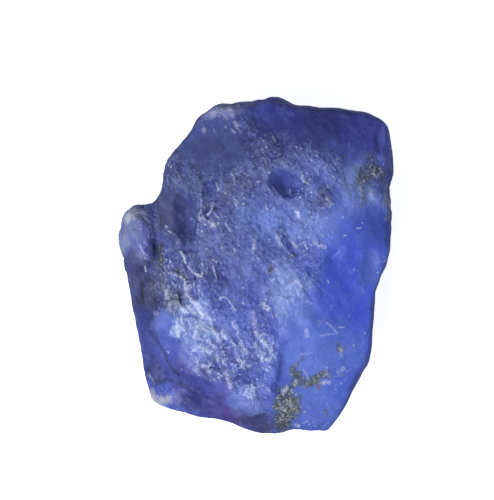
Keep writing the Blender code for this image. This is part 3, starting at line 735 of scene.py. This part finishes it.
THIN_MARKS = {
    1.0: [
        [(182, 251), (185, 256), (187, 262)], [(189, 266), (195, 271), (203, 276)],
        [(168, 351), (169, 352)], [(326, 280), (327, 282)], [(225, 128), (226, 129)], [(363, 332)],
        [(341, 218)], [(247, 177)], [(304, 410)], [(362, 182)], [(376, 272)], [(378, 170)],
        [(206, 225)], [(297, 215)],
    ],
    0.8: [
        [(167, 226), (169, 227)], [(171, 231), (173, 233)], [(172, 271), (178, 274)],
        [(181, 276), (186, 279), (188, 284)], [(214, 266), (215, 271)], [(216, 274), (218, 279)],
        [(255, 342), (260, 348)], [(266, 345), (270, 349)], [(262, 365), (268, 369)],
        [(259, 336), (262, 333)], [(288, 204)], [(352, 269)], [(300, 179), (302, 183)], [(301, 190)],
        [(309, 287)], [(370, 161)], [(368, 168)], [(366, 172)], [(391, 168)], [(347, 146)],
        [(145, 266), (146, 271)], [(331, 232)], [(342, 236), (345, 235)], [(329, 382)], [(352, 344)],
        [(265, 298)], [(265, 395)], [(339, 354)],
        [(220, 299), (221, 296), (226, 296), (230, 300), (235, 308)], [(315, 425)], [(309, 423)],
        [(291, 388)], [(272, 139), (275, 144)], [(231, 131), (235, 135)], [(359, 201)], [(326, 366)],
        [(262, 305), (266, 309)],
    ],
    0.6: [
        [(245, 390), (248, 387), (252, 389)], [(247, 396), (252, 393)], [(251, 383), (256, 386)],
        [(249, 401)], [(211, 204), (213, 210)], [(211, 212), (210, 217)], [(319, 235), (323, 236)],
        [(325, 187), (327, 189)], [(338, 326), (343, 326)], [(319, 334), (335, 332)],
        [(325, 321), (331, 326), (336, 332)], [(303, 368), (308, 378)], [(382, 262), (388, 254)],
        [(234, 181), (235, 184)], [(239, 245)], [(256, 377)], [(250, 406)], [(214, 131), (215, 134)],
        [(261, 160)], [(265, 163)], [(330, 305)], [(368, 310)], [(318, 264)],
        [(141, 245), (145, 254), (148, 255)], [(296, 290), (298, 295), (302, 297)],
        [(307, 300), (310, 303)], [(297, 304)], [(330, 366)], [(315, 357)], [(335, 388)], [(340, 382)],
        [(374, 288)], [(297, 220), (300, 221)], [(302, 423), (307, 420)], [(313, 421)],
        [(207, 248), (212, 252)], [(376, 177)], [(357, 181)], [(355, 229), (359, 228)], [(360, 223)],
        [(351, 207)], [(343, 207)], [(274, 154)], [(217, 184), (219, 191)], [(192, 219)],
        [(234, 200), (239, 204)], [(226, 224), (231, 231)], [(274, 268), (278, 272)], [(182, 368)],
        [(192, 353)], [(309, 256), (311, 259)], [(298, 237), (301, 239)], [(314, 153), (317, 155)],
        [(309, 146), (308, 149)],
    ],
    0.4: [
        [(222, 200), (229, 205)], [(233, 236), (235, 241)], [(218, 237), (219, 239)],
        [(256, 255), (259, 258)], [(270, 252), (272, 255)], [(277, 251), (284, 257)],
        [(291, 268), (295, 278)], [(280, 292), (282, 297)], [(206, 285)], [(202, 291), (204, 295)],
        [(222, 246), (223, 249)], [(234, 253), (235, 257)], [(242, 280)], [(245, 283), (248, 285)],
        [(250, 312)], [(198, 245), (196, 248)], [(192, 182)], [(196, 177), (198, 179)],
        [(289, 191), (290, 197)], [(320, 162), (328, 173)], [(324, 161), (333, 172)],
        [(329, 160), (337, 170)], [(333, 161), (339, 167)], [(322, 170), (327, 176)],
        [(313, 170), (317, 176)], [(261, 166), (264, 174), (268, 174)], [(262, 151), (263, 155)],
        [(293, 154), (296, 158)], [(252, 158)], [(221, 167)], [(287, 132)], [(333, 146)],
        [(284, 223), (287, 226)], [(281, 229), (287, 237)], [(272, 188), (276, 194)],
        [(304, 193), (305, 199)], [(339, 250), (331, 258)], [(333, 375), (342, 374)],
        [(344, 379), (347, 377)], [(345, 371), (350, 368)], [(322, 427), (329, 421)], [(326, 403)],
        [(344, 293)], [(329, 293)], [(338, 265)], [(349, 272)], [(316, 320), (322, 320)],
        [(320, 320), (317, 326)], [(347, 316), (349, 313)], [(360, 287), (362, 292)],
        [(174, 233), (180, 239)], [(166, 233), (170, 236)], [(151, 277)], [(155, 285), (158, 282)],
        [(300, 352), (308, 352), (312, 350)], [(162, 284), (165, 289)], [(169, 286), (171, 291)],
        [(164, 298), (166, 304)], [(192, 355), (189, 360)], [(302, 243), (306, 248)],
        [(168, 176), (169, 185)], [(213, 307)], [(216, 318)], [(246, 230)], [(252, 193)],
    ],
}
# Half-widths and height in millimetres
WIDE, THIN = 0.26, 0.1
MARK_HEIGHT = 0.07
# A mark of one place goes only this far, in millimetres
DOT = (0.02, -0.04)
# The wide marks get ragged sides, and the thin ones stay straight
ragged_points = points + 0.16 * wander(0.4)


def mark_path(mark):
    """A mark's places as a path in millimetres."""
    path = [from_picture(*place) for place in mark]
    if len(path) == 1:
        path.append((path[0][0] + DOT[0], path[0][1] + DOT[1]))
    return path


marks_share = np.zeros(len(points))
MARK_KINDS = ((WIDE, ragged_points, WIDE_MARKS), (THIN, points, THIN_MARKS))
for half_width, places, marks_by_brightness in MARK_KINDS:
    for brightness, marks in marks_by_brightness.items():
        for mark in marks:
            near = nearness(mark_path(mark), half_width, places)
            marks_share = np.maximum(marks_share, brightness * near)
# the marks are painted white in the material: frost on rubbed edges and painted glints
keep_share("mark_share", marks_share)
move_points(MARK_HEIGHT * marks_share)
print("marks:", sum(len(marks) for *_, group in MARK_KINDS for marks in group.values()))

# %% [markdown]
# ## Level the resting face
# The relief has roughened the underside too. The stone would then stand a little way into the
# surface it lies on, so every point that reaches below that level is lifted back to it.

# %% Keep the stone above the table
resting = read_points()
print("lowest point before:", round(float(resting[:, 2].min()), 3), "mm")
resting[:, 2] = np.maximum(resting[:, 2], 0.0)
stone.data.vertices.foreach_set("co", (resting * MM).ravel())
stone.data.update()

# %% [markdown]
# ## Crests and hollows
# On a real stone the crests are rubbed and frosted, and pale. The material also paints the crests
# lighter, as a painted highlight, and the hollows darker, as painted shade. A crest is where a point
# stands out from the average of its neighbours, and a hollow is where it lies below it. The
# difference is kept for the material, once for fine edges and once for lumps.

# %% Measure what stands out
# name: rounds of averaging, and the height in millimetres that counts as a full crest
CRESTS = {"fine_crest": (3, 0.02), "broad_crest": (24, 0.08)}
shape, facing = read_points(), read_points("normal")
for name, (times, full_height) in CRESTS.items():
    stands_out = ((shape - averaged(shape, times)) * facing).sum(axis=1)
    keep_share(name, np.clip(0.5 + 0.5 * stands_out / full_height, 0.0, 1.0))
    print(name, "heights:", [round(float(h), 3) for h in np.percentile(stands_out, (5, 50, 95))], "mm")

# %% [markdown]
# ## The sapphire
# Corundum is hard and bends light strongly, with an IOR of 1.77, so even a rough piece glitters.
# This one is cloudy: light goes a little way into it and comes back blue, which is what subsurface
# scattering does. Its skin was broken and then etched in the ground, so it is frosted, with clearer
# breaks and small bright faces. The base colour starts from the zones that were kept on the points,
# and what is finer than the points is laid over them by a few helpers.

# %% Start the material
sapphire = bpy.data.materials.new("cloudy_blue_corundum")
sapphire.use_nodes = True
nodes = sapphire.node_tree
shader = nodes.nodes["Principled BSDF"]
place = add_node(nodes, "ShaderNodeTexCoord").outputs["Object"]


def calculate(operation, first, second):
    """One step of arithmetic on two sockets or numbers."""
    numbers = {slot: value for slot, value in enumerate((first, second)) if isinstance(value, (int, float))}
    sockets = {slot: value for slot, value in enumerate((first, second)) if slot not in numbers}
    return add_node(nodes, "ShaderNodeMath", {"operation": operation, **numbers}, sockets).outputs[0]


def spread(value, low, high, to_low=0.0, to_high=1.0):
    """Stretches a value's range from low and high to two new ends, and holds it there."""
    return add_node(nodes, "ShaderNodeMapRange", {
        "From Min": low, "From Max": high, "To Min": to_low, "To Max": to_high,
    }, {"Value": value}).outputs[0]


def lay_over(below, above, mask, strength=1.0):
    """Lays one colour over another where the mask is."""
    cover = calculate("MULTIPLY", mask, strength)
    mixer = add_node(nodes, "ShaderNodeMix", {"data_type": "RGBA"}, {0: cover})
    for socket, tone in ((6, below), (7, above)):
        if isinstance(tone, str):
            mixer.inputs[socket].default_value = linear(tone)
        else:
            nodes.links.new(tone, mixer.inputs[socket])
    return mixer.outputs[2]


SHARES = ("etched_share", "lumpy_share", "worn_share", "seam_share", "mark_share", "rock_share", "glint_luck",
          "upper_share", "fine_crest", "broad_crest")
shares = {}
for name in SHARES:
    shares[name] = add_node(nodes, "ShaderNodeAttribute", {"attribute_name": name}).outputs["Fac"]
colour = add_node(nodes, "ShaderNodeAttribute", {"attribute_name": "zone_colour"}).outputs["Color"]
print("shares read from the mesh:", len(shares))

# %% [markdown]
# ## Painted shade in the hollows, frost and painted highlight on the crests
# The crests are laid over in a pale blue, partly frost and partly painted highlight, and the hollows
# in a deep one, which is painted shade. A crest counts the fine edges for more than the lumps.
# Lumpy skin shows it strongly, etched skin a little, and glassy skin hardly at all. Seams hold dirt
# and painted shadow.

# %% Crests, hollows and seams
FINE_WEIGHT, BROAD_WEIGHT = 0.6, 0.4
LUMPY_CREST_AND_HOLLOW, ETCHED_CREST_AND_HOLLOW = 0.32, 0.2
crest = calculate("ADD", calculate("MULTIPLY", shares["fine_crest"], FINE_WEIGHT),
                  calculate("MULTIPLY", shares["broad_crest"], BROAD_WEIGHT))
crest_and_hollow_paint = calculate("ADD", calculate("MULTIPLY", shares["lumpy_share"], LUMPY_CREST_AND_HOLLOW),
                     calculate("MULTIPLY", shares["etched_share"], ETCHED_CREST_AND_HOLLOW))
# painted highlight on the crests, over their frost
colour = lay_over(colour, "#c0d0f4", calculate("MULTIPLY", spread(crest, 0.5, 1.0), crest_and_hollow_paint))
# painted shade in the hollows
colour = lay_over(colour, "#1c2c7c", calculate("MULTIPLY", spread(crest, 0.46, 0.0), crest_and_hollow_paint))
# dirt and painted shade in the seams
colour = lay_over(colour, "#181e40", shares["seam_share"])
print("crests and hollows laid on")

# %% [markdown]
# ## Patchwork and streaks
# Each small break looks into the stone at its own angle, so one is slate, the next clear blue and
# the next violet. A cell pattern drawn out along the grooves gives every break its own tint, partly
# the stone's patchy colour and partly painted light and shade, as if each break caught the light its
# own way. A finer noise draws the pale and dark streaks of the etching. Faint clouds lie over all of it.

# %% A tint for each break
def along_grooves(length, width):
    """Object coordinates turned to the grooves, in units of a grain of this size in millimetres."""
    return add_node(nodes, "ShaderNodeMapping", {
        "vector_type": "TEXTURE",
        "Rotation": (0.0, 0.0, math.radians(GROOVE_ANGLE)),
        "Scale": (length * MM, width * MM, width * MM),
    }, {"Vector": place}).outputs[0]


# Length and width of a grain along the grooves, in millimetres
BREAK_SIZE, STREAK_SIZE = (1.0, 0.5), (0.3, 0.14)
TINT_WANDER_SIZE = 0.6 * MM
CLOUD_SIZE = 1.3 * MM
CLOUD_STRENGTH = 0.11
STREAK_STRENGTH = 0.5
tint_wander = add_node(nodes, "ShaderNodeTexNoise", {"Scale": 1 / TINT_WANDER_SIZE, "Detail": 3.0},
                       {"Vector": place})
tint_place = add_node(nodes, "ShaderNodeVectorMath", {"operation": "MULTIPLY_ADD", 1: (1.2,) * 3},
                      {0: tint_wander.outputs["Color"], 2: along_grooves(*BREAK_SIZE)}).outputs[0]
breaks = add_node(nodes, "ShaderNodeTexVoronoi", {"Scale": 1.0}, {"Vector": tint_place})
tint = add_node(nodes, "ShaderNodeSeparateColor", (), {0: breaks.outputs["Color"]})
# tone: which of a break's three random numbers chooses it, and how strong it is
TINTS = {"#38457c": (0, 0.35), "#7488d0": (1, 0.3), "#4440a0": (2, 0.25)}
# each tint is partly the stone's patchy colour and partly painted light and shade of a break
for tone, (channel, strength) in TINTS.items():
    chosen_breaks = calculate("MULTIPLY", spread(tint.outputs[channel], 0.6, 0.8), shares["etched_share"])
    colour = lay_over(colour, tone, chosen_breaks, strength)
streaks = add_node(nodes, "ShaderNodeTexNoise", {"Scale": 1.0, "Detail": 5.0, "Roughness": 0.8},
                   {"Vector": along_grooves(*STREAK_SIZE)})
for tone, low, high in (("#2a3674", 0.47, 0.36), ("#93a2dc", 0.53, 0.66)):
    streak = calculate("MULTIPLY", spread(streaks.outputs["Fac"], low, high), shares["etched_share"])
    colour = lay_over(colour, tone, streak, STREAK_STRENGTH)
clouds = add_node(nodes, "ShaderNodeTexNoise", {"Scale": 1 / CLOUD_SIZE, "Detail": 5.0, "Roughness": 0.6},
                  {"Vector": place})
for tone, low, high in (("#26368e", 0.5, 0.35), ("#8094e0", 0.52, 0.68)):
    colour = lay_over(colour, tone, spread(clouds.outputs["Fac"], low, high), CLOUD_STRENGTH)
print("tints:", len(TINTS))

# %% [markdown]
# ## Host rock
# The places of the rock are kept on the points, and here they get their look. The rock stains the
# stone around it grey. On the stain a cell pattern draws the grains, a fifth of a millimetre wide,
# black, green-grey and pale. A coarser noise eats into the patches, as weathering does.

# %% Grains of rock
ROCK_GRAIN = 0.2 * MM
RAGGED_SIZE = 0.5 * MM
STAIN_STRENGTH, GRAIN_STRENGTH = 0.8, 0.75
grains = add_node(nodes, "ShaderNodeTexVoronoi", {"Scale": 1 / ROCK_GRAIN}, {"Vector": place})
grain_shade = add_node(nodes, "ShaderNodeValToRGB", (), {0: grains.outputs["Color"]})
ramp = grain_shade.color_ramp
ramp.elements[0].position, ramp.elements[0].color = 0.22, linear("#12161a")
ramp.elements[1].position, ramp.elements[1].color = 0.55, linear("#46524f")
for where, tone in ((0.75, "#7a827e"), (0.92, "#c2c6bc")):
    ramp.elements.new(where).color = linear(tone)
ragged = add_node(nodes, "ShaderNodeTexNoise", {"Scale": 1 / RAGGED_SIZE, "Detail": 3.0}, {"Vector": place})
rock = calculate("MULTIPLY", shares["rock_share"], spread(ragged.outputs["Fac"], 0.3, 0.5))
colour = lay_over(colour, "#3c484e", shares["rock_share"], STAIN_STRENGTH)
colour = lay_over(colour, grain_shade.outputs[0], rock, GRAIN_STRENGTH)
print("grains of rock:", round(ROCK_GRAIN / MM, 2), "mm")

# %% [markdown]
# ## Bump for what is finer than the mesh
# The smallest faces are only a few hundredths of a millimetre wide, finer than a pixel, so they are
# drawn 0.3 mm wide. As in the mesh, each cell gets a slope of its own: its height is its offset
# from the cell's middle along a random direction. Long fine streaks run between them.

# %% Fine bump
FACET_SIZE = (0.36, 0.24)
FINE_BUMP = 0.075 * MM
facet_place = along_grooves(*FACET_SIZE)
facets = add_node(nodes, "ShaderNodeTexVoronoi", {"Scale": 1.0}, {"Vector": facet_place})
facet_offset = add_node(nodes, "ShaderNodeVectorMath", {"operation": "SUBTRACT"},
                        {0: facet_place, 1: facets.outputs["Position"]})
facet_slope = add_node(nodes, "ShaderNodeVectorMath", {
    "operation": "MULTIPLY_ADD", 1: (2.0, 2.0, 2.0), 2: (-1.0, -1.0, -1.0),
}, {0: facets.outputs["Color"]})
facet_height = add_node(nodes, "ShaderNodeVectorMath", {"operation": "DOT_PRODUCT"},
                        {0: facet_offset.outputs[0], 1: facet_slope.outputs[0]})
streak_bump = add_node(nodes, "ShaderNodeBump", {"Distance": FINE_BUMP},
                       {"Strength": shares["etched_share"], "Height": streaks.outputs["Fac"]})
facet_bump = add_node(nodes, "ShaderNodeBump", {"Distance": FINE_BUMP}, {
    "Strength": shares["etched_share"],
    "Height": facet_height.outputs["Value"],
    "Normal": streak_bump.outputs[0],
})
nodes.links.new(facet_bump.outputs[0], shader.inputs["Normal"])
print("fine bump:", FINE_BUMP / MM, "mm")

# %% [markdown]
# ## Gloss
# The ground between the faces is frosted, but about one face in six is polished by nature, and
# flashes where it mirrors a window. The glassy breaks are smoother than the etched skin, though
# even they carry a fine frost. The seams are dusty and the worn places dull.

# %% Roughness
POLISHED, DUSTY = 0.14, 0.85
FROST_SIZE = (0.3, 0.2)
LUCKY_FACES = 0.16
lucky = add_node(nodes, "ShaderNodeSeparateColor", (), {0: facets.outputs["Color"]})
grain = add_node(nodes, "ShaderNodeTexNoise", {"Scale": 1.0, "Detail": 3.0, "Roughness": 0.7},
                 {"Vector": along_grooves(*FROST_SIZE)})
frost = spread(grain.outputs["Fac"], 0.35, 0.65, 0.36, 0.7)
polished = calculate("MULTIPLY", calculate("GREATER_THAN", lucky.outputs[2], 1 - LUCKY_FACES), 0.75)
frost = add_node(nodes, "ShaderNodeMix", {"data_type": "FLOAT", 3: POLISHED}, {
    0: polished, 2: frost,
}).outputs[0]
glass = spread(grain.outputs["Fac"], 0.35, 0.65, 0.42, 0.56)
gloss = add_node(nodes, "ShaderNodeMix", {"data_type": "FLOAT"}, {
    0: shares["etched_share"], 2: glass, 3: frost,
})
dull = calculate("MAXIMUM", shares["seam_share"], calculate("MULTIPLY", shares["worn_share"], 0.8))
roughness = add_node(nodes, "ShaderNodeMix", {"data_type": "FLOAT", 3: DUSTY}, {0: dull, 2: gloss.outputs[0]})
nodes.links.new(roughness.outputs[0], shader.inputs["Roughness"])
print("frosted skin, with one face in six polished")

# %% [markdown]
# ## Glints
# The brightest flashes come from faces far smaller than the mesh can hold. They are painted as
# glints: short ragged white marks that crowd on the crests of the lumps and chips and are thin
# elsewhere. So a glint needs luck and a crest, and the glitter ovals above say how much luck. The
# chips and ridges that were placed one by one are painted white too, partly as frost on a rubbed
# edge and partly as painted glints, and a fine noise breaks them into beads.

# %% Marks of light
COMMON_LUCK = 0.17
WHITE_STRENGTH = 0.85
GLINT_SIZE, BEAD_SIZE = (0.4, 0.2), (0.17, 0.11)
luck = calculate("MULTIPLY", shares["etched_share"], COMMON_LUCK)
luck = calculate("MAXIMUM", luck, shares["glint_luck"])
ragged_place = add_node(nodes, "ShaderNodeVectorMath", {"operation": "MULTIPLY_ADD", 1: (0.9,) * 3},
                        {0: grain.outputs["Color"], 2: along_grooves(*GLINT_SIZE)}).outputs[0]
glint_cells = add_node(nodes, "ShaderNodeTexVoronoi", {"Scale": 1.0}, {"Vector": ragged_place})
cell_luck = add_node(nodes, "ShaderNodeSeparateColor", (), {0: glint_cells.outputs["Color"]})
glint = calculate("LESS_THAN", cell_luck.outputs[0], luck)
for limit in (spread(glint_cells.outputs["Distance"], 0.55, 0.25), spread(crest, 0.5, 0.7),
              shares["upper_share"], shares["etched_share"], 0.6):
    glint = calculate("MULTIPLY", glint, limit)
beads = add_node(nodes, "ShaderNodeTexNoise", {"Scale": 1.0, "Detail": 3.0, "Roughness": 0.7},
                 {"Vector": along_grooves(*BEAD_SIZE)})
placed = calculate("MULTIPLY", shares["mark_share"], spread(beads.outputs["Fac"], 0.42, 0.6, 0.1))
glints_and_frost_white = calculate("MAXIMUM", glint, spread(placed, 0.08, 0.85))
# painted glints, and the placed marks painted white as frost and painted glints
colour = lay_over(colour, "#e8edfa", glints_and_frost_white, WHITE_STRENGTH)
nodes.links.new(colour, shader.inputs["Base Color"])
print("glints laid on")

# %% [markdown]
# ## Depth
# The last numbers are the same all over the stone. The IOR is corundum's own. Specular is below the
# usual half, because a weathered skin returns less light than a cut one. Blue light goes furthest
# into the stone before it comes back, red the least, and all of it within about a third of a
# millimetre.

# %% Shine and depth
shader.inputs["IOR"].default_value = 1.77
shader.inputs["Specular IOR Level"].default_value = 0.3
shader.inputs["Subsurface Weight"].default_value = 0.35
shader.inputs["Subsurface Radius"].default_value = (0.35, 0.5, 1.0)
shader.inputs["Subsurface Scale"].default_value = 0.35 * MM
stone.data.materials.append(sapphire)
print("material:", sapphire.name, len(nodes.nodes), "nodes")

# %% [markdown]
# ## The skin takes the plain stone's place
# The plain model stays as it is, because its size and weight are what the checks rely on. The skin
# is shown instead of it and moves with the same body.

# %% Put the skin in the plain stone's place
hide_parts("rough_sapphire")
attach(stone, "root")
